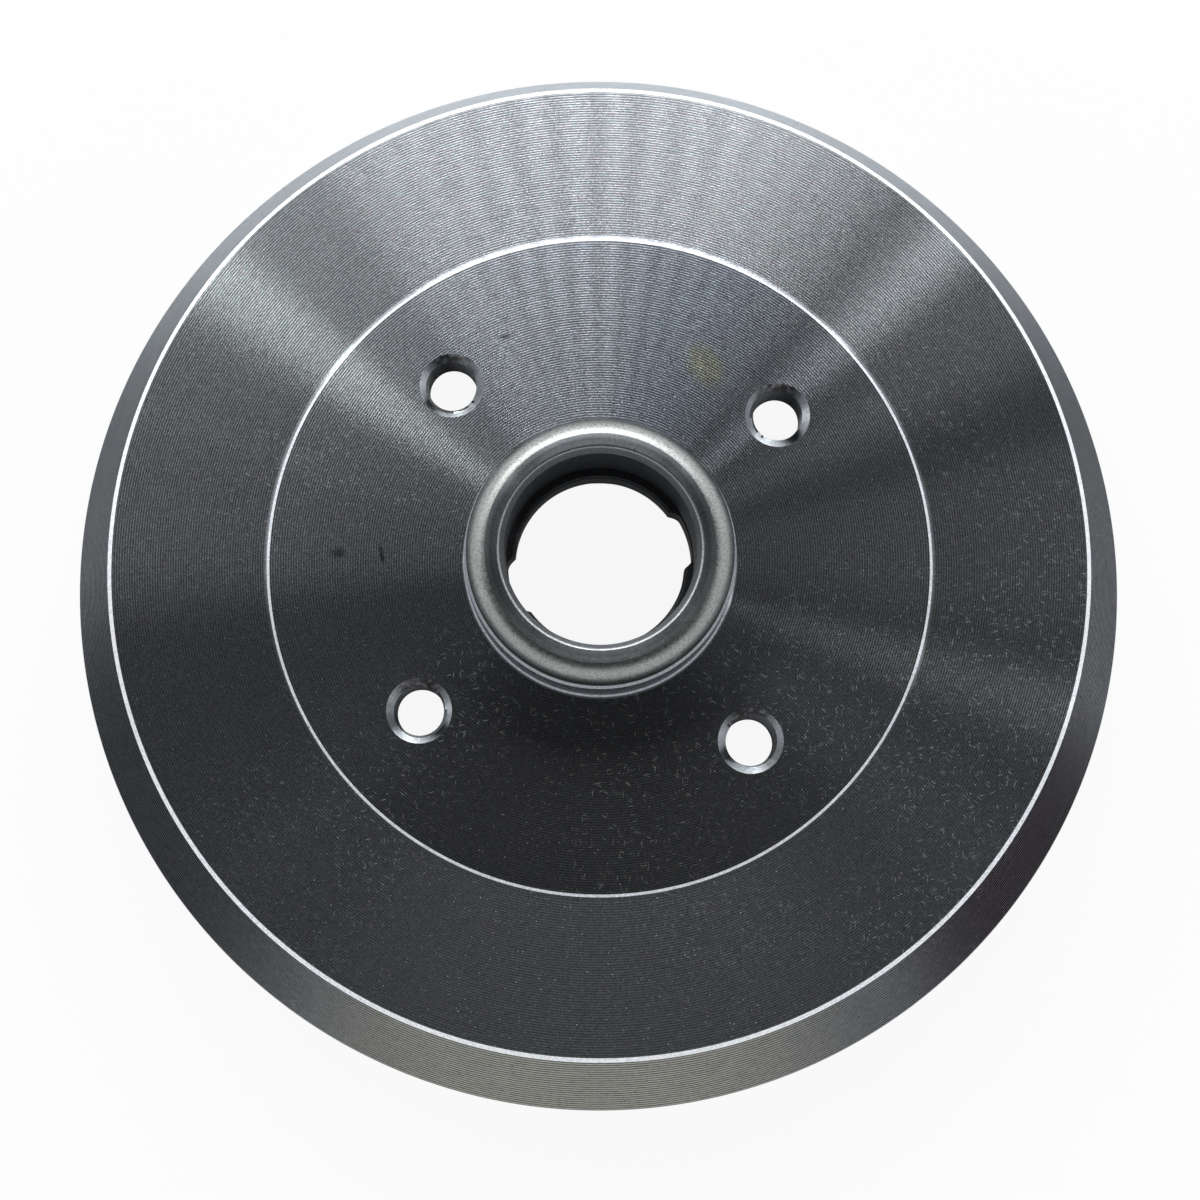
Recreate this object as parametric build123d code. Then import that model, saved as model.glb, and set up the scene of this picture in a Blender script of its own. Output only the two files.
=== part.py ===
from build123d import *
import os
from math import radians, tan

# Rear brake drum with a built-in bearing hub: one grey-iron casting, turned on the wheel side.
# Millimetres. The origin is the centre of the wheel's mounting face. +Z points out of that face
# towards the wheel, so the open side of the drum faces down. Depths are measured down from z = 0.

# Friction surface for the shoes, and the relief groove that parts it from the web
friction_radius = 100.0
friction_width = 40.0
entry_chamfer = 1.5
relief_width = 3.0
relief_depth = 1.0
relief_chamfer = 2.0

# Web that carries the wheel, and its two turned faces. Walls are measured outwards from the friction surface.
web_thickness = 10.5
mounting_face_radius = 70.75
face_edge_width = 0.6
face_edge_drop = 0.4
face_foot_width = 0.9
outer_face_drop = 0.6
shoulder_wall = 4.65
outer_edge_width = 0.95
outer_edge_drop = 0.65

# Turned cone down to the flange round the open side
flange_wall = 18.3
flange_depth = 31.5
flange_foot_step = 3.5
flange_edge_chamfer = 0.8
rim_lip_width = 7.0

# Wheel bolt holes, at the minor diameter of their thread
bolt_count = 4
bolt_circle_diameter = 100.0
bolt_hole_diameter = 10.38
bolt_sink_diameter = 14.0
bolt_exit_diameter = 12.4
bolt_angle = 45.0

# Boss on the wheel side: turned spigot for the wheel's centre hole, and a cast nose above it.
# Its wall is measured from the outer bearing's seat out to the spigot.
boss_wall = 8.56
spigot_height = 12.1
spigot_root_chamfer = 1.1
nose_step = 0.6
nose_height = 20.5
nose_fillet = 5.0

# Outer bearing: seat for its cup, with the mouth chamfer, the undercut and the land that stops it
outer_cup_diameter = 39.88
mouth_chamfer_width = 1.05
mouth_chamfer_depth = 1.9
outer_stop_depth = 0.5
outer_stop_step = 1.69
outer_land_length = 6.5
land_edge_chamfer = 0.5
undercut_width = 2.6
undercut_depth = 0.4

# Grease space between the bearings
grease_recess = 1.4
grease_taper_depth = 5.0

# Inner bearing, and the seal behind it, whose seat is a step wider so that the cup passes through it
stop_spacing = 27.5
inner_stop_step = 2.045
inner_land_length = 5.0
inner_cup_diameter = 50.29
inner_cup_seat_length = 15.0
seal_step = 0.855
seal_seat_length = 8.0
seal_mouth_chamfer = 0.8

# Cast hub inside the drum
hub_wall = 7.0
hub_draft_angle = 5.0
hub_root_fillet = 6.0
hub_end_chamfer = 1.0

# Pockets in each land, through which a drift reaches the back of the bearing cup
pocket_count = 2
pocket_angle = 21.0
pocket_width = 11.6
pocket_side_angle = 26.0
pocket_corner_fillet = 1.0
pocket_seat_margin = 0.05

# Heights and radii that follow from the sizes above
web_inner = -web_thickness
friction_top = web_inner - relief_width
rim = friction_top - friction_width
flange_foot = rim + flange_foot_step
relief_radius = friction_radius + relief_depth
outer_face_radius = friction_radius + shoulder_wall
flange_radius = friction_radius + flange_wall
rim_lip_radius = friction_radius + rim_lip_width

outer_seat_radius = outer_cup_diameter / 2
outer_land_radius = outer_seat_radius - outer_stop_step
spigot_radius = outer_seat_radius + boss_wall
outer_stop = -outer_stop_depth
outer_land_end = outer_stop - outer_land_length

inner_seat_radius = inner_cup_diameter / 2
inner_land_radius = inner_seat_radius - inner_stop_step
inner_stop = outer_stop - stop_spacing
inner_land_end = inner_stop + inner_land_length

grease_radius = inner_land_radius + grease_recess
seal_radius = inner_seat_radius + seal_step
seal_floor = inner_stop - inner_cup_seat_length
hub_end = seal_floor - seal_seat_length
hub_end_radius = seal_radius + hub_wall
hub_root_radius = hub_end_radius + (web_inner - hub_end) * tan(radians(hub_draft_angle))
nose_radius = spigot_radius - nose_step
nose_foot = spigot_height + nose_step


def wheel_side():
    """Outline of the side that faces the wheel, from the bore's mouth out to the rim."""
    edge_foot = mounting_face_radius + face_edge_width
    return [
        (outer_seat_radius, nose_height - mouth_chamfer_depth),
        (outer_seat_radius + mouth_chamfer_width, nose_height),
        (nose_radius, nose_height),
        (nose_radius, nose_foot),
        (spigot_radius, spigot_height),
        (spigot_radius, spigot_root_chamfer),
        (spigot_radius + spigot_root_chamfer, 0),
        (mounting_face_radius, 0),
        (edge_foot, -face_edge_drop),
        (edge_foot + face_foot_width, -outer_face_drop),
        (outer_face_radius, -outer_face_drop),
        (outer_face_radius + outer_edge_width, -outer_face_drop - outer_edge_drop),
        (flange_radius, -flange_depth),
        (flange_radius, flange_foot + flange_edge_chamfer),
        (flange_radius - flange_edge_chamfer, flange_foot),
        (rim_lip_radius, flange_foot),
        (rim_lip_radius, rim),
    ]


def inner_side():
    """Outline of the drum's inside, from the rim over the friction surface and the web to the hub's end."""
    return [
        (friction_radius + entry_chamfer, rim),
        (friction_radius, rim + entry_chamfer),
        (friction_radius, friction_top),
        (relief_radius, friction_top),
        (relief_radius, web_inner - relief_chamfer),
        (relief_radius - relief_chamfer, web_inner),
        (hub_root_radius, web_inner),
        (hub_end_radius, hub_end + hub_end_chamfer),
        (hub_end_radius - hub_end_chamfer, hub_end),
    ]


def bearing_bore():
    """Outline of the bore through the hub, from the seal's mouth up to the outer bearing's seat."""
    inner_undercut = inner_seat_radius + undercut_depth
    outer_undercut = outer_seat_radius + undercut_depth
    return [
        (seal_radius + seal_mouth_chamfer, hub_end),
        (seal_radius, hub_end + seal_mouth_chamfer),
        (seal_radius, seal_floor),
        (inner_seat_radius, seal_floor),
        (inner_seat_radius, inner_stop - undercut_width),
        (inner_undercut, inner_stop - undercut_width),
        (inner_undercut, inner_stop),
        (inner_land_radius, inner_stop),
        (inner_land_radius, inner_land_end),
        (grease_radius, inner_land_end + grease_recess),
        (grease_radius, outer_land_end - grease_taper_depth),
        (outer_land_radius, outer_land_end),
        (outer_land_radius, outer_stop - land_edge_chamfer),
        (outer_land_radius + land_edge_chamfer, outer_stop),
        (outer_undercut, outer_stop),
        (outer_undercut, outer_stop + undercut_width),
        (outer_seat_radius, outer_stop + undercut_width),
    ]


def casting():
    """The turned form: the half section, with its rounded corners, spun about the axis."""
    section = make_face(Polyline(*wheel_side(), *inner_side(), *bearing_bore(), close=True))
    rounded_corners = [
        ((nose_radius, nose_height), nose_fillet),
        ((hub_root_radius, web_inner), hub_root_fillet),
    ]
    for point, radius in rounded_corners:
        corner = section.vertices().sort_by_distance(point)[0]
        section = fillet(corner, radius)
    return revolve(Plane.XZ * section, Axis.Z, 360)


def bolt_hole():
    """One wheel bolt's hole, on the axis: tapping bore, countersink at the wheel side, exit chamfer."""
    hole_radius = bolt_hole_diameter / 2
    sink_radius = bolt_sink_diameter / 2
    exit_radius = bolt_exit_diameter / 2
    half_section = Polyline(
        (0, web_inner),
        (exit_radius, web_inner),
        (hole_radius, web_inner + exit_radius - hole_radius),
        (hole_radius, hole_radius - sink_radius),
        (sink_radius, 0),
        (0, 0),
        close=True,
    )
    return revolve(Plane.XZ * make_face(half_section), Axis.Z, 360)


def drift_pocket(land_radius, seat_radius, low, high):
    """A pocket in a land, on +X: its sides close in towards the cup's seat, and its floor is round."""
    reach = seat_radius - pocket_seat_margin
    half_width = pocket_width / 2
    slope = tan(radians(pocket_side_angle))
    start = land_radius / 2
    end = seat_radius + undercut_depth
    start_half = half_width + (land_radius - start) * slope
    end_half = half_width - (end - land_radius) * slope
    sides = make_face(
        Polyline((start, -start_half), (end, -end_half), (end, end_half), (start, start_half), close=True)
    )
    outline = sides & Circle(reach)
    far_corners = outline.vertices().sort_by(Axis.X)[-2:]
    outline = fillet(far_corners, pocket_corner_fillet)
    return Pos(0, 0, low) * extrude(outline, high - low)


def drum():
    """The finished drum: the turned casting with its bolt holes and the pockets in its two lands."""
    body = casting()
    bolt_places = PolarLocations(bolt_circle_diameter / 2, bolt_count, start_angle=bolt_angle)
    body -= bolt_places * bolt_hole()
    outer_pocket = drift_pocket(
        outer_land_radius, outer_seat_radius, outer_land_end - grease_taper_depth, outer_stop
    )
    inner_pocket = drift_pocket(
        inner_land_radius, inner_seat_radius, inner_stop, inner_land_end + grease_recess
    )
    for turn in range(pocket_count):
        angle = pocket_angle + turn * 360 / pocket_count
        body -= Rot(0, 0, angle) * outer_pocket
        body -= Rot(0, 0, angle) * inner_pocket
    return body


os.makedirs("parts", exist_ok=True)
export_step(drum(), "parts/brake_drum.step")
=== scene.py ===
from math import asin, atan, cos, degrees, pi, radians, sin, tan

import bmesh
import bpy
from mathutils import Matrix, Vector


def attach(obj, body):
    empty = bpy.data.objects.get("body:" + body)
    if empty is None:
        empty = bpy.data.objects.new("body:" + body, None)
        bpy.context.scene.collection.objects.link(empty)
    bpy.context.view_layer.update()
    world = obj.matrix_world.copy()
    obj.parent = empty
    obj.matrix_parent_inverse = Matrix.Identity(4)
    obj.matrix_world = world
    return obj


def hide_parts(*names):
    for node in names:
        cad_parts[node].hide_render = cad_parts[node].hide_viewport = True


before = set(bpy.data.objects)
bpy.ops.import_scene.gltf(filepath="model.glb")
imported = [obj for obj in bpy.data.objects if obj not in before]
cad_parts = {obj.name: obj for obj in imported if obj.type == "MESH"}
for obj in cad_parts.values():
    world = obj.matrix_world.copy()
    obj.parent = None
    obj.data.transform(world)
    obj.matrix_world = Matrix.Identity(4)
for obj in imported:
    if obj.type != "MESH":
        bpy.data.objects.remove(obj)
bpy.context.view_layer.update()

# The looks of a turned brake drum round its CAD solid. Lengths are in millimetres and angles in
# degrees. The origin is the centre of the wheel's mounting face, and +Z points out of it towards
# the wheel.

MM = 0.001

# Turned form, with the same sizes as the solid
WEB_INNER = -10.5
FRICTION_RADIUS, FRICTION_TOP = 100.0, -13.5
RELIEF_RADIUS, RELIEF_CHAMFER = 101.0, 2.0
RIM, RIM_LIP_RADIUS, ENTRY_CHAMFER = -53.5, 107.0, 1.5
FLANGE_RADIUS, FLANGE_TOP, FLANGE_FOOT, FLANGE_CHAMFER = 118.3, -31.5, -50.0, 0.8
FACE_RADIUS, FACE_EDGE, FACE_FOOT, FACE_EDGE_DROP = 70.75, 71.35, 72.25, 0.4
OUTER_DROP, OUTER_RADIUS, CONE_RADIUS, CONE_TOP = 0.6, 104.65, 105.6, -1.25
SPIGOT_RADIUS, SPIGOT_HEIGHT = 28.5, 12.1
NOSE_RADIUS, NOSE_FOOT, NOSE_HEIGHT = 27.9, 12.7, 20.5
CUP_RADIUS, MOUTH_RADIUS, MOUTH_DEPTH = 19.94, 20.99, 1.9
OUTER_STOP, OUTER_LAND_RADIUS, OUTER_LAND_END, LAND_CHAMFER = -0.5, 18.25, -7.0, 0.5
UNDERCUT, UNDERCUT_WIDTH = 0.4, 2.6
GREASE_RADIUS, GREASE_TOP, GREASE_FOOT = 24.5, -12.0, -21.6
INNER_LAND_RADIUS, INNER_LAND_END, INNER_STOP = 23.1, -23.0, -28.0
INNER_CUP_RADIUS, SEAL_RADIUS, SEAL_FLOOR, SEAL_CHAMFER = 25.145, 26.0, -43.0, 0.8
HUB_END, HUB_END_RADIUS, HUB_END_CHAMFER, HUB_DRAFT = -51.0, 33.0, 1.0, 5.0
HUB_ROOT_RADIUS = HUB_END_RADIUS + (WEB_INNER - HUB_END) * tan(radians(HUB_DRAFT))

# Roundings: what a tool leaves at a corner, and the larger ones
TOOL_ROUND = 0.12
RELIEF_ROUND, MOUTH_ROUND, ROOT_ROUND = 3 * TOOL_ROUND, 0.8, 1.1
FLANGE_ROUND, NOSE_ROUND, HUB_ROOT_ROUND = 4.0, 5.0, 6.0

# Wheel bolt holes with their M12x1.5 thread
BOLT_CIRCLE_RADIUS, BOLT_ANGLE, BOLT_COUNT = 50.0, 45.0, 4
TAP_RADIUS, SINK_RADIUS, EXIT_RADIUS = 5.19, 7.0, 6.2
THREAD_RADIUS, THREAD_PITCH, THREAD_TURNS = 6.0, 1.5, 10
THREAD_FLANK, THREAD_CREST = 30.0, THREAD_PITCH / 8

# Drift pockets in the two lands
POCKET_ANGLE, POCKET_COUNT = 21.0, 2
POCKET_WIDTH, POCKET_SIDE_ANGLE, POCKET_CORNER, POCKET_MARGIN = 11.6, 26.0, 1.0, 0.05

# How finely the mesh is divided, how far a cutter reaches past what it cuts, and what is merged
TURN_STEPS, HOLE_STEPS, THREAD_STEPS, POCKET_STEPS = 320, 64, 40, 12
LARGE_ROUND_STEPS, SMALL_ROUND_STEPS, POCKET_CORNER_STEPS = 8, 3, 4
HOLE_PAST, THREAD_PAST, THREAD_OVERLAP, POCKET_PAST = 1.0, 2.5, 0.15, 0.4
MERGE = 0.001 * MM
SHARP_ANGLE = 40


# The drum's mesh
def ring_section():
    """Half section of the drum: (radius, height, rounding of the corner) all the way round."""
    tool = TOOL_ROUND
    return [
        (CUP_RADIUS, NOSE_HEIGHT - MOUTH_DEPTH, tool),
        (MOUTH_RADIUS, NOSE_HEIGHT, MOUTH_ROUND),
        (NOSE_RADIUS, NOSE_HEIGHT, NOSE_ROUND),
        (NOSE_RADIUS, NOSE_FOOT, tool),
        (SPIGOT_RADIUS, SPIGOT_HEIGHT, tool),
        (SPIGOT_RADIUS, 0, ROOT_ROUND),
        (FACE_RADIUS, 0, tool),
        (FACE_EDGE, -FACE_EDGE_DROP, tool),
        (FACE_FOOT, -OUTER_DROP, 0),
        (OUTER_RADIUS, -OUTER_DROP, tool),
        (CONE_RADIUS, CONE_TOP, tool),
        (FLANGE_RADIUS, FLANGE_TOP, FLANGE_ROUND),
        (FLANGE_RADIUS, FLANGE_FOOT + FLANGE_CHAMFER, tool),
        (FLANGE_RADIUS - FLANGE_CHAMFER, FLANGE_FOOT, tool),
        (RIM_LIP_RADIUS, FLANGE_FOOT, tool),
        (RIM_LIP_RADIUS, RIM, tool),
        (FRICTION_RADIUS + ENTRY_CHAMFER, RIM, tool),
        (FRICTION_RADIUS, RIM + ENTRY_CHAMFER, tool),
        (FRICTION_RADIUS, FRICTION_TOP, tool),
        (RELIEF_RADIUS, FRICTION_TOP, tool),
        (RELIEF_RADIUS, WEB_INNER - RELIEF_CHAMFER, RELIEF_ROUND),
        (RELIEF_RADIUS - RELIEF_CHAMFER, WEB_INNER, RELIEF_ROUND),
        (HUB_ROOT_RADIUS, WEB_INNER, HUB_ROOT_ROUND),
        (HUB_END_RADIUS, HUB_END + HUB_END_CHAMFER, tool),
        (HUB_END_RADIUS - HUB_END_CHAMFER, HUB_END, tool),
        (SEAL_RADIUS + SEAL_CHAMFER, HUB_END, tool),
        (SEAL_RADIUS, HUB_END + SEAL_CHAMFER, tool),
        (SEAL_RADIUS, SEAL_FLOOR, tool),
        (INNER_CUP_RADIUS, SEAL_FLOOR, tool),
        (INNER_CUP_RADIUS, INNER_STOP - UNDERCUT_WIDTH, 0),
        (INNER_CUP_RADIUS + UNDERCUT, INNER_STOP - UNDERCUT_WIDTH, 0),
        (INNER_CUP_RADIUS + UNDERCUT, INNER_STOP, 0),
        (INNER_LAND_RADIUS, INNER_STOP, tool),
        (INNER_LAND_RADIUS, INNER_LAND_END, tool),
        (GREASE_RADIUS, GREASE_FOOT, tool),
        (GREASE_RADIUS, GREASE_TOP, tool),
        (OUTER_LAND_RADIUS, OUTER_LAND_END, tool),
        (OUTER_LAND_RADIUS, OUTER_STOP - LAND_CHAMFER, tool),
        (OUTER_LAND_RADIUS + LAND_CHAMFER, OUTER_STOP, tool),
        (CUP_RADIUS + UNDERCUT, OUTER_STOP, 0),
        (CUP_RADIUS + UNDERCUT, OUTER_STOP + UNDERCUT_WIDTH, 0),
        (CUP_RADIUS, OUTER_STOP + UNDERCUT_WIDTH, 0),
    ]


def outline(bm, points, closed=True):
    """Mesh edges through (radius, height) points in the XZ plane."""
    verts = [bm.verts.new((r * MM, 0, z * MM)) for r, z in points]
    ends = verts[1:] + verts[:1] if closed else verts[1:]
    for a, b in zip(verts, ends):
        bm.edges.new((a, b))
    return verts


def corner_reach(before, corner, after, rounding):
    """How far along its sides a rounding starts from its corner."""
    a = (Vector(before) - Vector(corner)).normalized()
    b = (Vector(after) - Vector(corner)).normalized()
    return rounding / tan(a.angle(b) / 2)


def rounded(bm, corners, reach, steps):
    """Rounds corners of a flat outline. The rounding starts at a reach from each corner."""
    bmesh.ops.bevel(
        bm,
        geom=corners,
        offset=reach * MM,
        offset_type="OFFSET",
        segments=steps,
        profile=0.5,
        affect="VERTICES",
        material=-1,
    )


def spun(bm, steps):
    """Turns the outline in a bmesh once round the axis."""
    bmesh.ops.spin(
        bm,
        geom=bm.verts[:] + bm.edges[:],
        cent=(0, 0, 0),
        axis=(0, 0, 1),
        angle=2 * pi,
        steps=steps,
        use_merge=True,
    )
    bmesh.ops.remove_doubles(bm, verts=bm.verts, dist=MERGE)
    bmesh.ops.recalc_face_normals(bm, faces=bm.faces)


def mesh_object(bm, name):
    """Keeps a bmesh as a new object at the origin."""
    mesh = bpy.data.meshes.new(name)
    bm.to_mesh(mesh)
    bm.free()
    piece = bpy.data.objects.new(name, mesh)
    bpy.context.scene.collection.objects.link(piece)
    return piece


def turned_blank():
    """The drum as it leaves the lathe, before it is drilled: its half section, rounded and spun."""
    bm = bmesh.new()
    section = ring_section()
    verts = outline(bm, [(r, z) for r, z, _ in section])
    bm.faces.new(verts)
    for index, (r, z, rounding) in enumerate(section):
        if not rounding:
            continue
        before, after = section[index - 1][:2], section[(index + 1) % len(section)][:2]
        steps = LARGE_ROUND_STEPS if rounding > 1 else SMALL_ROUND_STEPS
        rounded(bm, [verts[index]], corner_reach(before, (r, z), after, rounding), steps)
    bmesh.ops.delete(bm, geom=bm.faces[:], context="FACES_ONLY")
    spun(bm, TURN_STEPS)
    return mesh_object(bm, "turned_drum")


def hole_cutter():
    """One bolt hole without its thread: tapping bore, countersink and exit chamfer."""
    bm = bmesh.new()
    outline(
        bm,
        [
            (0, WEB_INNER - HOLE_PAST),
            (EXIT_RADIUS + HOLE_PAST, WEB_INNER - HOLE_PAST),
            (TAP_RADIUS, WEB_INNER + EXIT_RADIUS - TAP_RADIUS),
            (TAP_RADIUS, TAP_RADIUS - SINK_RADIUS),
            (SINK_RADIUS + HOLE_PAST, HOLE_PAST),
            (0, HOLE_PAST),
        ],
        closed=False,
    )
    spun(bm, HOLE_STEPS)
    return bm


def thread_cutter():
    """A screw longer than the web is thick, that cuts the bolt's thread into the tapping bore."""
    core = TAP_RADIUS - THREAD_OVERLAP
    half_crest = THREAD_CREST / 2
    half_foot = half_crest + (THREAD_RADIUS - core) * tan(radians(THREAD_FLANK))
    middle = THREAD_PITCH / 2
    bm = bmesh.new()
    outline(
        bm,
        [
            (core, 0),
            (core, middle - half_foot),
            (THREAD_RADIUS, middle - half_crest),
            (THREAD_RADIUS, middle + half_crest),
            (core, middle + half_foot),
            (core, THREAD_PITCH),
        ],
        closed=False,
    )
    bmesh.ops.spin(
        bm,
        geom=bm.verts[:] + bm.edges[:],
        cent=(0, 0, 0),
        axis=(0, 0, 1),
        dvec=(0, 0, THREAD_PITCH / THREAD_STEPS * MM),
        angle=2 * pi * THREAD_TURNS,
        steps=THREAD_STEPS * THREAD_TURNS,
    )
    bmesh.ops.remove_doubles(bm, verts=bm.verts, dist=MERGE)
    # each open end of the screw is closed with a cone to the axis
    rims = [e for e in bm.edges if e.is_boundary]
    length = THREAD_PITCH * (THREAD_TURNS + 1) * MM
    for low in (True, False):
        loop = [e for e in rims if (e.verts[0].co.z < length / 2) == low]
        grown = bmesh.ops.extrude_edge_only(bm, edges=loop)["geom"]
        tip = [g for g in grown if isinstance(g, bmesh.types.BMVert)]
        bmesh.ops.pointmerge(bm, verts=tip, merge_co=(0, 0, 0 if low else length))
    bmesh.ops.translate(bm, verts=bm.verts, vec=(0, 0, (WEB_INNER - THREAD_PAST) * MM))
    bmesh.ops.recalc_face_normals(bm, faces=bm.faces)
    return bm


def pocket_cutter(land, seat, low, high):
    """A drift pocket on +X: its sides close in towards the seat, and its floor follows the seat."""
    reach = seat - POCKET_MARGIN
    half_width = POCKET_WIDTH / 2
    slope = tan(radians(POCKET_SIDE_ANGLE))
    near = land / 2
    near_half = half_width + (land - near) * slope
    # where the straight sides meet the round floor, closer with each round
    half_angle = 0.0
    for _ in range(20):
        half_angle = asin((half_width + (land - reach * cos(half_angle)) * slope) / reach)
    bm = bmesh.new()
    floor_start = bm.verts.new(
        (reach * cos(half_angle) * MM, -reach * sin(half_angle) * MM, low * MM)
    )
    bmesh.ops.spin(
        bm,
        geom=[floor_start],
        cent=(0, 0, 0),
        axis=(0, 0, 1),
        angle=2 * half_angle,
        steps=POCKET_STEPS,
    )
    ends = [v for v in bm.verts if len(v.link_edges) == 1]
    ends.sort(key=lambda v: v.co.y)
    left = bm.verts.new((near * MM, -near_half * MM, low * MM))
    right = bm.verts.new((near * MM, near_half * MM, low * MM))
    bm.edges.new((ends[0], left))
    bm.edges.new((left, right))
    bm.edges.new((right, ends[1]))
    bmesh.ops.contextual_create(bm, geom=bm.edges[:])
    rounded(bm, ends, POCKET_CORNER, POCKET_CORNER_STEPS)
    grown = bmesh.ops.extrude_face_region(bm, geom=bm.faces[:])["geom"]
    top = [g for g in grown if isinstance(g, bmesh.types.BMVert)]
    bmesh.ops.translate(bm, verts=top, vec=(0, 0, (high - low) * MM))
    bmesh.ops.recalc_face_normals(bm, faces=bm.faces)
    return bm


def placed_copies(bm, name, places):
    """One object that holds a copy of the cutter at each place."""
    tool = mesh_object(bm, name)
    bm = bmesh.new()
    for place in places:
        before = len(bm.verts)
        bm.from_mesh(tool.data)
        bm.verts.ensure_lookup_table()
        bmesh.ops.transform(bm, matrix=place, verts=bm.verts[before:])
    bm.to_mesh(tool.data)
    bm.free()
    return tool


def keep_modifiers(piece):
    """Makes what the modifiers show the piece's own mesh."""
    shown = piece.evaluated_get(bpy.context.evaluated_depsgraph_get())
    mesh = bpy.data.meshes.new_from_object(shown)
    piece.modifiers.clear()
    piece.data = mesh


def cut(piece, tool):
    """Takes the tool's shape out of the piece and throws the tool away."""
    step = piece.modifiers.new("cut", "BOOLEAN")
    step.operation = "DIFFERENCE"
    step.solver = "EXACT"
    step.object = tool
    keep_modifiers(piece)
    bpy.data.objects.remove(tool)


def drilled_drum():
    """The finished drum: blank, bolt holes, drift pockets and threads."""
    drum = turned_blank()
    hole_places = [
        Matrix.Rotation(radians(BOLT_ANGLE + 360 / BOLT_COUNT * k), 4, "Z")
        @ Matrix.Translation((BOLT_CIRCLE_RADIUS * MM, 0, 0))
        for k in range(BOLT_COUNT)
    ]
    pocket_places = [
        Matrix.Rotation(radians(POCKET_ANGLE + 360 / POCKET_COUNT * k), 4, "Z")
        for k in range(POCKET_COUNT)
    ]
    outer_pocket = pocket_cutter(
        OUTER_LAND_RADIUS, CUP_RADIUS, GREASE_TOP, OUTER_STOP + POCKET_PAST
    )
    inner_pocket = pocket_cutter(
        INNER_LAND_RADIUS, INNER_CUP_RADIUS, INNER_STOP - POCKET_PAST, GREASE_FOOT
    )
    cut(drum, placed_copies(hole_cutter(), "bolt_hole_tool", hole_places))
    cut(drum, placed_copies(outer_pocket, "outer_pocket_tool", pocket_places))
    cut(drum, placed_copies(inner_pocket, "inner_pocket_tool", pocket_places))
    cut(drum, placed_copies(thread_cutter(), "thread_tool", hole_places))
    return drum


def shaded(piece):
    """Smooth shading that keeps the flat faces flat and the sharp corners sharp."""
    piece.data.shade_smooth()
    piece.data.set_sharp_from_angle(angle=radians(SHARP_ANGLE))
    weigh = piece.modifiers.new("flat faces lead", "WEIGHTED_NORMAL")
    weigh.mode = "FACE_AREA"
    weigh.weight = 100
    weigh.keep_sharp = True
    keep_modifiers(piece)


# Tools for the materials
class Value:
    """A number, vector or colour in a material. Python arithmetic on it adds the Math nodes."""

    def __init__(self, nodes, socket):
        self.nodes, self.socket = nodes, socket

    def math(self, operation, *others):
        inputs = dict(enumerate((self, *others)))
        return self.nodes.add("ShaderNodeMath", {"operation": operation}, inputs)

    def __add__(self, other):
        return self.math("ADD", other)

    __radd__ = __add__

    def __sub__(self, other):
        return self.math("SUBTRACT", other)

    def __rsub__(self, other):
        return self.nodes.add("ShaderNodeMath", {"operation": "SUBTRACT"}, {0: other, 1: self})

    def __mul__(self, other):
        return self.math("MULTIPLY", other)

    __rmul__ = __mul__

    def __truediv__(self, other):
        return self.math("DIVIDE", other)

    def __abs__(self):
        return self.math("ABSOLUTE")

    def fraction(self):
        return self.math("FRACT")

    def floor(self):
        return self.math("FLOOR")

    def root(self):
        return self.math("SQRT")

    def least(self, other):
        """The value, but no less than the other."""
        return self.math("MAXIMUM", other)

    def most(self, other):
        """The value, but no more than the other."""
        return self.math("MINIMUM", other)

    def rise(self, low, high, bottom=0.0, top=1.0):
        """Bottom at low, top at high, smooth between and level outside."""
        return self.nodes.add(
            "ShaderNodeMapRange",
            {"interpolation_type": "SMOOTHSTEP"},
            {"Value": self, "From Min": low, "From Max": high, "To Min": bottom, "To Max": top},
        )


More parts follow.
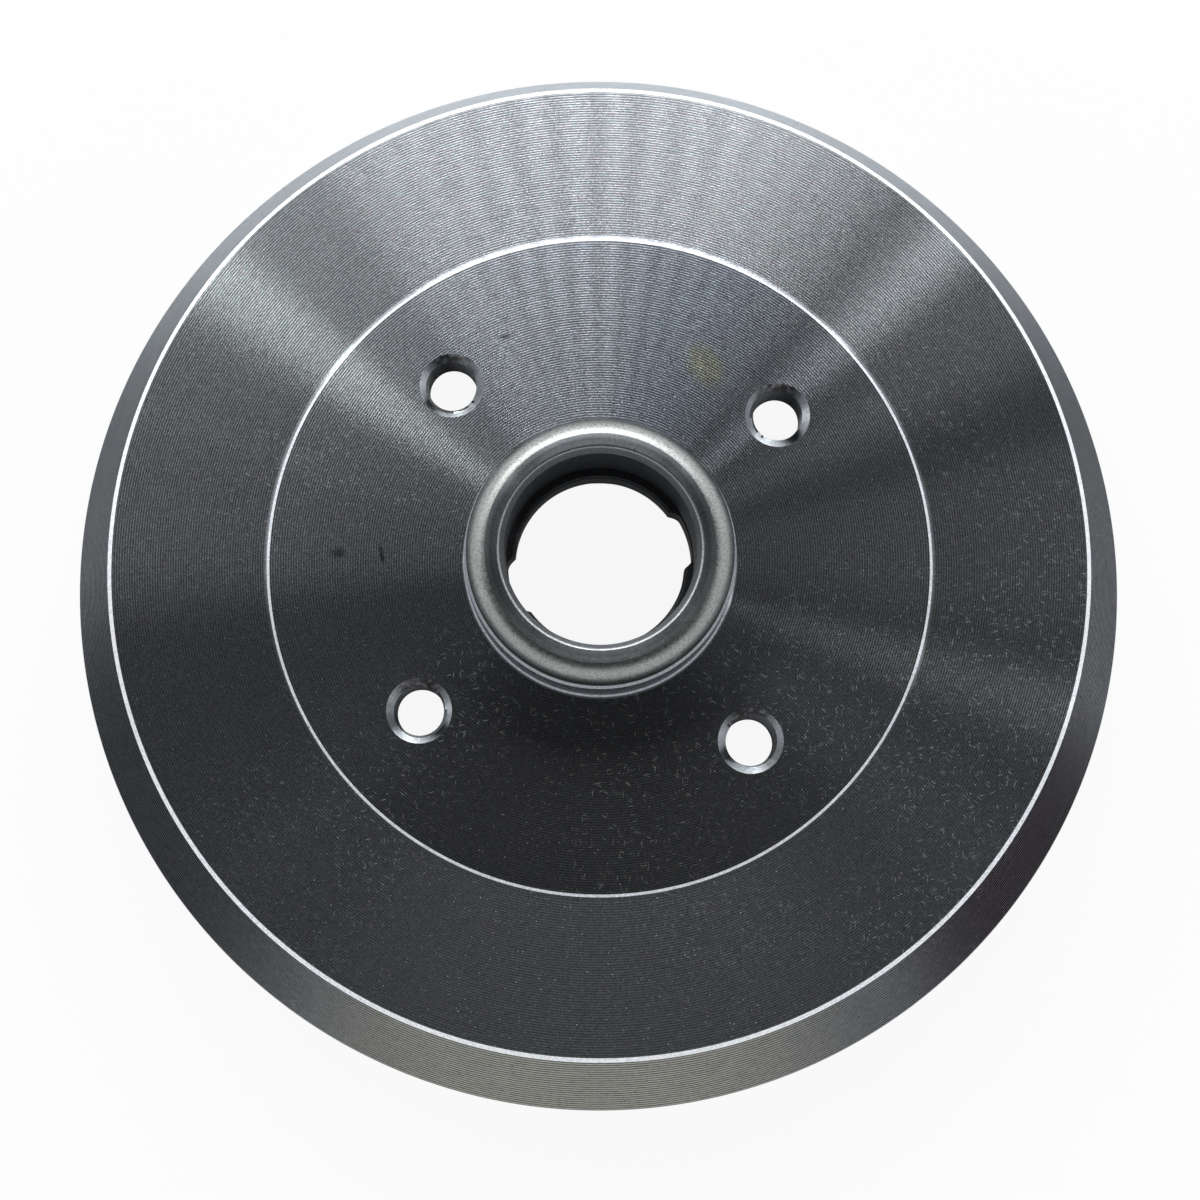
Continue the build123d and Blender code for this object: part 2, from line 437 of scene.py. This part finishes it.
class Nodes:
    """The nodes of one material, or of the world."""

    def __init__(self, tree):
        self.tree = tree
        tree.nodes.clear()

    def raw(self, kind, settings=None, inputs=None):
        """Adds a node. Settings go first, then the values or links of its sockets."""
        node = self.tree.nodes.new(kind)
        for key, value in (settings or {}).items():
            setattr(node, key, value)
        for key, value in (inputs or {}).items():
            if isinstance(value, Value):
                self.tree.links.new(value.socket, node.inputs[key])
            else:
                node.inputs[key].default_value = value
        return node

    def add(self, kind, settings=None, inputs=None, output=0):
        """Adds a node and gives one of its outputs."""
        return Value(self, self.raw(kind, settings, inputs).outputs[output])

    def vector(self, operation, *inputs, output=0):
        settings = {"operation": operation}
        return self.add("ShaderNodeVectorMath", settings, dict(enumerate(inputs)), output)

    def scaled(self, vector, factor):
        settings = {"operation": "SCALE"}
        return self.add("ShaderNodeVectorMath", settings, {0: vector, "Scale": factor})

    def dot(self, a, b):
        return self.vector("DOT_PRODUCT", a, b, output="Value")

    def parts(self, vector):
        split = self.raw("ShaderNodeSeparateXYZ", None, {0: vector})
        return [Value(self, socket) for socket in split.outputs]

    def joined(self, x, y, z):
        return self.add("ShaderNodeCombineXYZ", None, {0: x, 1: y, 2: z})

    def noise(self, vector, scale, detail=1.0, roughness=0.5):
        inputs = {"Vector": vector, "Scale": scale, "Detail": detail, "Roughness": roughness}
        return self.add("ShaderNodeTexNoise", None, inputs)

    def specks(self, vector, scale, radius, share):
        """Round spots in a share of the cells of a loose grid. The radius is in cells."""
        cells = self.raw("ShaderNodeTexVoronoi", None, {"Vector": vector, "Scale": scale})
        distance = Value(self, cells.outputs["Distance"])
        chance, light, _ = self.parts(Value(self, cells.outputs["Color"]))
        return distance.rise(radius, radius * 0.3) * chance.rise(share, share * 0.8) * light

    def mixed(self, factor, a, b):
        """A colour between a and b."""
        a, b = (c if isinstance(c, Value) else (*c, 1) for c in (a, b))
        return self.add("ShaderNodeMix", {"data_type": "RGBA"}, {0: factor, 6: a, 7: b}, 2)

    def tinted(self, colour, tint):
        """A colour multiplied by another one."""
        return self.vector("MULTIPLY", colour, tint)


class Finish(Nodes):
    """A surface finish: one material under construction."""

    def __init__(self, name):
        self.material = bpy.data.materials.new(name)
        self.material.use_nodes = True
        super().__init__(self.material.node_tree)
        self.point = self.add("ShaderNodeTexCoord", output="Object")
        self.normal = self.add("ShaderNodeNewGeometry", output="Normal")

    def metal(self, colour, roughness, normal, anisotropic=0.0, metallic=1.0, edge=1.0):
        """Ends the material in one metal shader. Its glints stretch across the tool marks."""
        shader = self.add(
            "ShaderNodeBsdfPrincipled",
            None,
            {
                "Base Color": colour,
                "Metallic": metallic,
                "Roughness": roughness,
                "Anisotropic": anisotropic,
                "Anisotropic Rotation": QUARTER_TURN,
                "Specular Tint": (edge, edge, edge, 1),
                "Normal": normal,
            },
        )
        self.raw("ShaderNodeOutputMaterial", None, {"Surface": shader})
        return self.material

    def oval(self, origin, angle, per_length, per_width):
        """Where the point lies along and aside of a line at an angle to +X, in oval sizes."""
        c, s = cos(radians(angle)), sin(radians(angle))
        off = self.vector("SUBTRACT", self.point, origin)
        along = self.dot(off, (c * per_length, s * per_length, 0.0))
        aside = self.dot(off, (-s * per_width, c * per_width, 0.0))
        return along, aside

    def soft_oval(self, x, y, half_length, half_width, angle):
        """A soft oval patch on the face, 1 in its middle. Its length lies at an angle to +X."""
        origin = (x * MM, y * MM, 0.0)
        along, aside = self.oval(origin, angle, 1 / (half_length * MM), 1 / (half_width * MM))
        return (along * along + aside * aside).root().rise(1.0, 0.3)

    def hairs(self, angle):
        """Short straight bits of fluff that lie at one angle to +X, strewn over the surface."""
        along, aside = self.oval((0.0, 0.0, 0.0), angle, HAIRS_ALONG, HAIRS_ASIDE)
        return self.specks(self.joined(along, aside, angle), 1.0, HAIR_RADIUS, HAIR_SHARE)


def scaled_colour(colour, factor):
    return tuple(c * factor for c in colour)


# The drum's finishes. A pattern's scale is in cells per metre, or round the axis per radian.
QUARTER_TURN = 0.25
USUAL_NOISE = (0.35, 0.65)
WHITE = (1.0, 1.0, 1.0)

WANDER_ROUND, WANDER_ROWS, WANDER_REACH = 1.5, 0.04, 0.4
DASHES_ROUND, DASHES_ROWS, DASHES_LIGHT = 110.0, 3.7, 0.4
PATCHES_ROUND, PATCHES_ROWS, PATCHES_LIGHT = 25.0, 0.6, 0.2
HUES_ROUND, HUES_ROWS, HUES = 60.0, 5.3, ((1.03, 0.985, 1.015), (0.96, 1.0, 1.035))
GRAIN_SCALE, GRAIN_LIGHT, GRAIN_ROUGHNESS = 1900.0, 1.25, 0.04
PATCH_BREAKUP_SCALE = 700.0

PORE_SCALE, PORE_DARKNESS, PORE_ROUGHNESS, PORE_COLOUR = 1500.0, 0.6, 0.2, (0.02, 0.02, 0.02)
PIT_SCALE, PIT_RADIUS, PIT_SHARE = 420.0, 0.16, 0.9
DUST_SCALE, DUST_RADIUS, DUST_SHARE = 900.0, 0.17, 0.9
DUST_COVER, DUST_ROUGHNESS, DUST_COLOUR = 0.30, 0.3, (0.31, 0.31, 0.27)
HAIR_ANGLES, HAIR_COVER, HAIR_RADIUS, HAIR_SHARE = (20, 95, 150), 0.52, 0.36, 0.30
HAIRS_ALONG, HAIRS_ASIDE = 400.0, 2800.0
FLUFF_SCALE, MOST_COVER = 16.0, 0.9

SAND_SCALE, SAND_ROUGHNESS, LUMP_SCALE = 2200.0, 0.25, 150.0


def turned_iron(
    name,
    colour,
    roughness,
    pitch,
    depth,
    lean=0.0,
    groove_shade=0.3,
    wear=1.0,
    pits=0.0,
    edge=1.0,
    marks=(),
    painted_light_sectors=(),
):
    """Grey iron off the lathe: tool marks round the axis at one pitch, broken into short dashes.

    Depth is the slope of a tool mark's sides, and lean the tilt of all of them away from the axis.
    Groove shade is the painted shade in each tool mark's valley against its lighter ridges, wear
    how much dust and fluff lies on the marks, and pits how many small holes show. Edge is how
    bright the metal stays where it is seen at a low angle.
    Marks are small patches on a face: some are stains, some painted shade and painted highlights.
    Painted light sectors are broad tints that reach round a part of the ring, painted highlight
    where the tint is above 1 and painted shade where it is below.
    """
    f = Finish(name)
    x, y, _ = f.parts(f.point)
    radius = (x * x + y * y).root()
    out_x, out_y = x / radius, y / radius
    hoop = f.joined(out_y * -1.0, out_x, 0.0)
    across = f.vector("NORMALIZE", f.vector("CROSS_PRODUCT", hoop, f.normal))
    turns = f.dot(f.point, across) * (1 / (pitch * MM))

    def broken(per_radian, per_row, rows):
        """Noise round the axis that changes from one row of tool marks to the next."""
        return f.noise(f.joined(out_x * per_radian, out_y * per_radian, rows * per_row), 1.0)

    # each turn of the tool has its own row number, so that its breaks are its own
    travel = turns + broken(WANDER_ROUND, WANDER_ROWS, turns) * WANDER_REACH
    row = travel.floor()
    dashes = broken(DASHES_ROUND, DASHES_ROWS, row)
    patches = broken(PATCHES_ROUND, PATCHES_ROWS, row)
    hue = broken(HUES_ROUND, HUES_ROWS, row)
    grain = f.noise(f.point, GRAIN_SCALE, detail=2.0)

    side = travel.fraction() * 2.0 - 1.0
    slope = side * (dashes + 0.5) * depth + lean + (patches - 0.5) * (PATCHES_LIGHT * depth)
    bent = f.vector("NORMALIZE", f.vector("ADD", f.normal, f.scaled(across, slope)))

    # painted shade in the valley of each tool mark, lighter on its ridges, and the faint colours of
    # their breaks
    level = (abs(side) - 0.5) * (2 * groove_shade) + 1.0
    level = level + (dashes - 0.5) * DASHES_LIGHT + (patches - 0.5) * PATCHES_LIGHT
    tone = f.mixed(grain.rise(*USUAL_NOISE), colour, scaled_colour(colour, GRAIN_LIGHT))
    tone = f.scaled(tone, level.least(0.2))
    tone = f.tinted(tone, f.mixed(hue.rise(*USUAL_NOISE), *HUES))

    # painted light round the ring: a tint above 1 paints a highlight, a tint below 1 paints shade
    for tint, middle, reach in painted_light_sectors:
        towards = (cos(radians(middle)), sin(radians(middle)), 0.0)
        facing = f.dot(f.joined(out_x, out_y, 0.0), towards)
        tone = f.tinted(tone, f.mixed(facing.rise(cos(radians(reach)), 1.0), WHITE, tint))
    # stains on the mounting face; painted shade and painted highlights in the countersinks
    for tint, patch in marks:
        patch_breakup = f.noise(f.point, PATCH_BREAKUP_SCALE, detail=2.0).rise(0.3, 0.6, 0.6, 1.0)
        tone = f.tinted(tone, f.mixed(f.soft_oval(*patch) * patch_breakup, WHITE, tint))

    pores = f.noise(f.point, PORE_SCALE, detail=2.0, roughness=0.6).rise(0.30, 0.25)
    holes = f.specks(f.point, PIT_SCALE, PIT_RADIUS, PIT_SHARE)
    tone = f.mixed((pores * PORE_DARKNESS).least(holes * pits), tone, PORE_COLOUR)

    # dust and fluff lie on the metal in clouds, and are matt themselves
    dust = f.specks(f.point, DUST_SCALE, DUST_RADIUS, DUST_SHARE)
    fluff = dust * DUST_COVER
    for angle in HAIR_ANGLES:
        fluff = fluff + f.hairs(angle) * HAIR_COVER
    clouds = f.noise(f.point, FLUFF_SCALE).rise(0.40, 0.62, 0.15, 1.0)
    cover = (fluff * clouds * wear).most(MOST_COVER)
    tone = f.mixed(cover, tone, DUST_COLOUR)
    rough = (grain - 0.5) * GRAIN_ROUGHNESS + dust * (DUST_ROUGHNESS * wear)
    rough = rough + pores * PORE_ROUGHNESS + roughness
    return f.metal(tone, rough, bent, anisotropic=1.0, metallic=1.0 - cover, edge=edge)


def cast_iron(name, colour, roughness, bump, metallic=1.0, edge=1.0):
    """Cast skin: sandy, satin, with soft lumps."""
    f = Finish(name)
    sand = f.noise(f.point, SAND_SCALE, detail=3.0, roughness=0.6)
    lumps = f.noise(f.point, LUMP_SCALE, detail=2.0)
    height = sand * 0.5 + lumps * 1.5
    inputs = {"Strength": bump, "Distance": 0.1 * MM, "Height": height}
    shape = f.add("ShaderNodeBump", None, inputs)
    dark, light, dull = (scaled_colour(colour, factor) for factor in (0.75, 1.2, 0.8))
    tone = f.mixed(sand.rise(*USUAL_NOISE), dark, light)
    tone = f.mixed(lumps.rise(0.3, 0.7) * 0.35, tone, dull)
    rough = (sand - 0.5) * SAND_ROUGHNESS + roughness
    return f.metal(tone, rough, shape, metallic=metallic, edge=edge)


IRON = (0.246, 0.260, 0.270)
CUT_IRON = (0.80, 0.82, 0.84)

# Painted light sectors are (tint, angle of the middle, reach to each side), and marks are
# (tint, (x, y, half length, half width, angle)).
# painted shade on the mounting face: darker round +Y, towards 74 and 47 degrees, and round -Y
PAD_PAINTED_SHADE = (
    ((0.66, 0.67, 0.69), 90, 65),
    ((0.68, 0.70, 0.73), 74, 22),
    ((0.78, 0.78, 0.79), 47, 13),
    ((0.48, 0.47, 0.47), 275, 62),
)
# painted light on the cone: a painted highlight round +Y, a warm painted reflection of the floor
# round -Y, and painted shade towards 213 and 330 degrees
CONE_PAINTED_LIGHT = (
    ((2.7, 2.75, 2.75), 97, 75),
    ((2.0, 1.90, 1.62), 273, 36),
    ((0.38, 0.38, 0.39), 213, 30),
    ((0.38, 0.33, 0.34), 330, 22),
)
# painted shade on the flange corner round -Y
CORNER_PAINTED_SHADE = (((0.15, 0.15, 0.15), 275, 65),)

# an oily smudge, two dark rubs beside the boss and one behind it
PAD_MARKS = (
    ((1.24, 1.16, 0.82), (18.8, 44.9, 7.0, 5.2, 130)),
    ((0.35, 0.37, 0.42), (-56.0, -3.1, 2.1, 1.7, 0)),
    ((0.25, 0.26, 0.30), (-46.7, -2.6, 3.0, 0.7, 105)),
    ((0.30, 0.30, 0.30), (-25.0, 47.2, 2.0, 0.5, 20)),
)

BOLT_AXES = [
    (BOLT_CIRCLE_RADIUS * cos(radians(a)), BOLT_CIRCLE_RADIUS * sin(radians(a)))
    for a in (BOLT_ANGLE + 360 / BOLT_COUNT * k for k in range(BOLT_COUNT))
]
# painted shade with a rusty tint on the far wall of each countersink, and a painted highlight on
# its near wall
SINK_PAINTED_LIGHT = [((0.13, 0.115, 0.11), (x - 0.5, y + 6.5, 8.5, 6.0, 5)) for x, y in BOLT_AXES]
SINK_PAINTED_LIGHT += [((2.0, 2.05, 2.0), (x - 1.5, y - 6.6, 7.5, 4.5, 170)) for x, y in BOLT_AXES]

FINE_CUT = {"roughness": 0.25, "pitch": 0.3, "depth": 0.04, "groove_shade": 0.05, "wear": 0.2}
FINISHES = {
    "face": turned_iron(
        "turned_face", IRON, roughness=0.20, pitch=0.55, depth=0.065, lean=0.06, groove_shade=0.42
    ),
    "pad": turned_iron(
        "mounting_face",
        scaled_colour(IRON, 1.2),
        roughness=0.18,
        pitch=0.55,
        depth=0.065,
        lean=0.08,
        groove_shade=0.42,
        marks=PAD_MARKS,
        painted_light_sectors=PAD_PAINTED_SHADE,
    ),
    "cone": turned_iron(
        "turned_cone",
        scaled_colour(IRON, 0.6),
        roughness=0.34,
        pitch=1.45,
        depth=0.12,
        groove_shade=0.80,
        pits=1.0,
        edge=0.25,
        painted_light_sectors=CONE_PAINTED_LIGHT,
    ),
    "edge": turned_iron("cut_edge", CUT_IRON, **FINE_CUT),
    "step": turned_iron("step_edge", scaled_colour(CUT_IRON, 0.85), **FINE_CUT),
    "corner": turned_iron(
        "flange_corner", scaled_colour(CUT_IRON, 0.6), **FINE_CUT, painted_light_sectors=CORNER_PAINTED_SHADE
    ),
    "mouth": turned_iron(
        "mouth_chamfer",
        scaled_colour(IRON, 0.9),
        roughness=0.30,
        pitch=0.2,
        depth=0.04,
        groove_shade=0.0,
        wear=0.2,
    ),
    "wall": turned_iron(
        "turned_wall",
        scaled_colour(IRON, 1.3),
        roughness=0.20,
        pitch=0.35,
        depth=0.05,
        wear=0.3,
        edge=0.4,
    ),
    "friction": turned_iron(
        "friction_surface",
        scaled_colour(IRON, 2.2),
        roughness=0.34,
        pitch=0.4,
        depth=0.05,
        groove_shade=0.2,
        wear=0.3,
    ),
    "land": turned_iron(
        "nose_land",
        scaled_colour(IRON, 0.6),
        roughness=0.32,
        pitch=0.22,
        depth=0.05,
        wear=1.2,
        pits=1.0,
    ),
    "bore": turned_iron(
        "bored_seat",
        scaled_colour(IRON, 0.25),
        roughness=0.28,
        pitch=0.25,
        depth=0.06,
        wear=0.2,
        edge=0.3,
    ),
    "sink": turned_iron(
        "countersink",
        scaled_colour(IRON, 1.3),
        roughness=0.34,
        pitch=0.3,
        depth=0.08,
        wear=0.2,
        edge=0.6,
        marks=SINK_PAINTED_LIGHT,
    ),
    "nose": cast_iron("cast_nose", (0.31, 0.32, 0.315), roughness=0.31, bump=0.42, edge=0.3),
    "cast": cast_iron("cast_skin", (0.15, 0.15, 0.148), roughness=0.62, bump=0.9, metallic=0.6),
}

# How near a face's middle has to be to count as on a surface, and how upright its normal as level
NEAR, LEVEL = 0.1, 0.99
THREAD_REACH = THREAD_RADIUS - 0.4
FLANGE_CORNER = (FLANGE_RADIUS - 0.33, FLANGE_TOP - 0.85)
OUTER_EDGE_FOOT = CONE_TOP - 0.3
CORE_RADIUS, CORE_FOOT = OUTER_LAND_RADIUS + 0.3, GREASE_FOOT - 1.5


def near_bolt_axis(x, y, reach):
    """Whether a point lies within reach of a wheel bolt's axis."""
    return any(((x - ax) ** 2 + (y - ay) ** 2) ** 0.5 < reach for ax, ay in BOLT_AXES)


def boss_finish(radius, z, level):
    """Which finish a face of the boss takes."""
    if radius > SPIGOT_RADIUS + NEAR:
        return "wall"
    if z < SPIGOT_HEIGHT - NEAR:
        return "wall" if radius > NOSE_RADIUS else "bore"
    if z < NOSE_FOOT + NEAR and radius > NOSE_RADIUS - NEAR:
        return "wall"
    if level:
        return "land"
    if radius < MOUTH_RADIUS + NEAR / 2:
        return "mouth" if z > NOSE_HEIGHT - MOUTH_DEPTH - NEAR else "bore"
    return "nose"


def finish_at(centre, normal):
    """Which finish a face takes, by where it lies on the casting."""
    x, y, z = (c / MM for c in centre)
    radius = (x * x + y * y) ** 0.5
    level = abs(normal.z) > LEVEL
    if not level and near_bolt_axis(x, y, SINK_RADIUS + NEAR):
        threaded = near_bolt_axis(x, y, THREAD_REACH) or z < TAP_RADIUS - SINK_RADIUS
        return "bore" if threaded else "sink"
    if radius < SPIGOT_RADIUS + ROOT_ROUND + NEAR / 10 and z > 0:
        return boss_finish(radius, z, level)
    if z > OUTER_EDGE_FOOT and radius > FACE_RADIUS - 2 * NEAR:
        if radius > OUTER_RADIUS - NEAR:
            return "edge"
        return "step" if radius < FACE_EDGE and not level else "face"
    if z > -OUTER_DROP and radius > SPIGOT_RADIUS:
        return "pad"
    if radius > FLANGE_CORNER[0] and z > FLANGE_CORNER[1]:
        return "corner"
    if radius > CONE_RADIUS or z < RIM + 2 * NEAR:
        return "cone"
    if radius > FRICTION_RADIUS - 2 * NEAR:
        return "friction"
    if radius < SEAL_RADIUS + 1.5 and z > HUB_END + NEAR:
        core = CORE_FOOT < z < OUTER_LAND_END and radius > CORE_RADIUS
        return "cast" if core else "bore"
    return "wall" if z < HUB_END + NEAR else "cast"


def dress(piece):
    """Gives every face of the drum its finish."""
    names = list(FINISHES)
    for finish in FINISHES.values():
        piece.data.materials.append(finish)
    for polygon in piece.data.polygons:
        polygon.material_index = names.index(finish_at(polygon.center, polygon.normal))


drum = drilled_drum()
dress(drum)
shaded(drum)
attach(drum, "root")
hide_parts("brake_drum")

# The studio. The image is turned a little to the drum's axes, and the camera leans off the axis.
IMAGE_TURN = 5.04
VIEW_LEAN = 0.144
FLOOR_RADIUS, FLOOR_GAP, FLOOR_GLOW = 6000.0, 0.02, 0.92
FLOOR_COLOUR, WALL_COLOUR = (0.82, 0.82, 0.82, 1), (0.985, 1.0, 1.01, 1)
REAR_WALL, CEILING = 1.5, 0.055

# Lamps: brightness, height above the horizon in degrees, length and distance in metres
LAMP, LAMP_ELEVATION, LAMP_LENGTH, LAMP_DISTANCE = 13.0, 43, 0.9, 2.0
WINDOW_FAN, BAR_SPACING, WINDOW_LIGHT = 92.7, tan(radians(5.3)), 0.74
GREENISH = (0.96, 1.0, 0.95)
SIDE_STRIPS = {
    # name: (fan angle, width in degrees, share of the brightness, colour)
    "right_streak": (42.5, 4.0, 0.37, WHITE),
    "right_fill": (47, 4, 0.14, WHITE),
    "far_right_fill": (31, 10, 0.06, WHITE),
    "left_fill": (131, 11, 0.20, WHITE),
    "left_streak": (142.5, 6.5, 0.52, GREENISH),
    "far_left_fill": (154, 10, 0.10, WHITE),
    "left_side": (172, 22, 0.08, WHITE),
    "right_side": (343, 6, 0.12, WHITE),
    "front_right_side": (4, 20, 0.035, WHITE),
}

CAMERA_PLACE = (3.588, -69.776, 480.78)
CAMERA_TURN = (7.2891, -0.3273, 5.1801)
SENSOR_WIDTH, LENS = 36, 68.037


def studio_floor():
    """Pale floor with the drum's soft shadow. The camera sees through it from below."""
    bm = bmesh.new()
    bmesh.ops.create_circle(bm, cap_ends=True, segments=96, radius=FLOOR_RADIUS * MM)
    bmesh.ops.translate(bm, verts=bm.verts, vec=(0, 0, (RIM - FLOOR_GAP) * MM))
    floor = mesh_object(bm, "studio_floor")
    f = Finish("pale_floor")
    rays = f.raw("ShaderNodeLightPath").outputs
    kinds = ("Is Camera Ray", "Is Glossy Ray", "Is Transmission Ray")
    camera_ray, glossy_ray, transmission_ray = (Value(f, rays[kind]) for kind in kinds)
    seen = (camera_ray + glossy_ray + transmission_ray).most(1.0)
    matt = f.add("ShaderNodeBsdfDiffuse", None, {"Color": FLOOR_COLOUR})
    glow = f.add("ShaderNodeEmission", None, {"Strength": 1.0})
    both = f.add("ShaderNodeMixShader", None, {0: seen * FLOOR_GLOW, 1: matt, 2: glow})
    clear = f.add("ShaderNodeBsdfTransparent")
    below = f.add("ShaderNodeNewGeometry", output="Backfacing")
    one_sided = f.add("ShaderNodeMixShader", None, {0: below, 1: both, 2: clear})
    f.raw("ShaderNodeOutputMaterial", None, {"Surface": one_sided})
    floor.data.materials.append(f.material)


def studio_walls():
    """Bright walls and a dark ceiling. Where the camera looks past the floor, it sees white."""
    world = bpy.data.worlds.new("studio")
    bpy.context.scene.world = world
    world.use_nodes = True
    w = Nodes(world.node_tree)
    way = w.add("ShaderNodeTexCoord", output="Generated")
    rear = (-sin(radians(IMAGE_TURN)), cos(radians(IMAGE_TURN)), 0.0)
    height = w.parts(way)[2]
    walls = w.dot(way, rear).rise(-0.2, 0.9, 1.0, REAR_WALL)
    light = walls * height.rise(0.50, 0.80, 1.0, CEILING)
    # the metal mirrors the walls and the ceiling as they are, so glossy rays don't see white
    rays = w.raw("ShaderNodeLightPath").outputs
    seen = Value(w, rays["Is Camera Ray"]) + Value(w, rays["Is Transmission Ray"])
    strength = w.add("ShaderNodeMix", None, {0: seen, 2: light, 3: 1.0})
    back = w.add("ShaderNodeBackground", None, {"Color": WALL_COLOUR, "Strength": strength})
    w.raw("ShaderNodeOutputWorld", None, {"Surface": back})


def soft_strip(name, fan, width, brightness, colour=WHITE):
    """A tall narrow lamp whose glint on the turned face lies along one radius of the image.

    Fan is that radius's angle in the image, and width the lamp's own, both in degrees.
    """
    from_top = radians(90 - LAMP_ELEVATION)
    lean = asin(VIEW_LEAN * cos(radians(fan)) / sin(from_top))
    side = radians(fan) + lean + radians(IMAGE_TURN)
    way = Vector((sin(from_top) * cos(side), sin(from_top) * sin(side), cos(from_top)))
    data = bpy.data.lights.new(name, "AREA")
    data.shape = "RECTANGLE"
    data.size = radians(width) * LAMP_DISTANCE * sin(from_top)
    data.size_y = LAMP_LENGTH
    data.energy = brightness * pi * data.size * data.size_y
    data.color = colour
    lamp = bpy.data.objects.new(name, data)
    facing = way.to_track_quat("Z", "Y").to_matrix().to_4x4()
    lamp.matrix_world = Matrix.Translation(way * LAMP_DISTANCE) @ facing
    bpy.context.scene.collection.objects.link(lamp)


def studio_lamps():
    """A window behind the drum, its bars at one spacing, and weaker strips to its sides."""
    for k in range(-9, 7):
        off = k * BAR_SPACING
        fan = WINDOW_FAN + degrees(atan(off))
        fade = min(1.0, 1.5 + 0.12 * k, 1.6 - 0.133 * k)
        soft_strip(f"window_{k}", fan, 2.4 / (1 + off * off), WINDOW_LIGHT * LAMP * fade)
    for name, (fan, width, share, colour) in SIDE_STRIPS.items():
        soft_strip(name, fan, width, LAMP * share, colour)


def studio_camera():
    """The photograph's view, nearly straight down on the wheel's mounting face."""
    data = bpy.data.cameras.new("camera")
    data.sensor_width = SENSOR_WIDTH
    data.lens = LENS
    data.clip_end = 20
    camera = bpy.data.objects.new("camera", data)
    camera.location = Vector(CAMERA_PLACE) * MM
    camera.rotation_euler = [radians(a) for a in CAMERA_TURN]
    bpy.context.scene.collection.objects.link(camera)
    bpy.context.scene.camera = camera


studio_floor()
studio_walls()
studio_lamps()
studio_camera()
bpy.context.scene.view_settings.view_transform = "Standard"
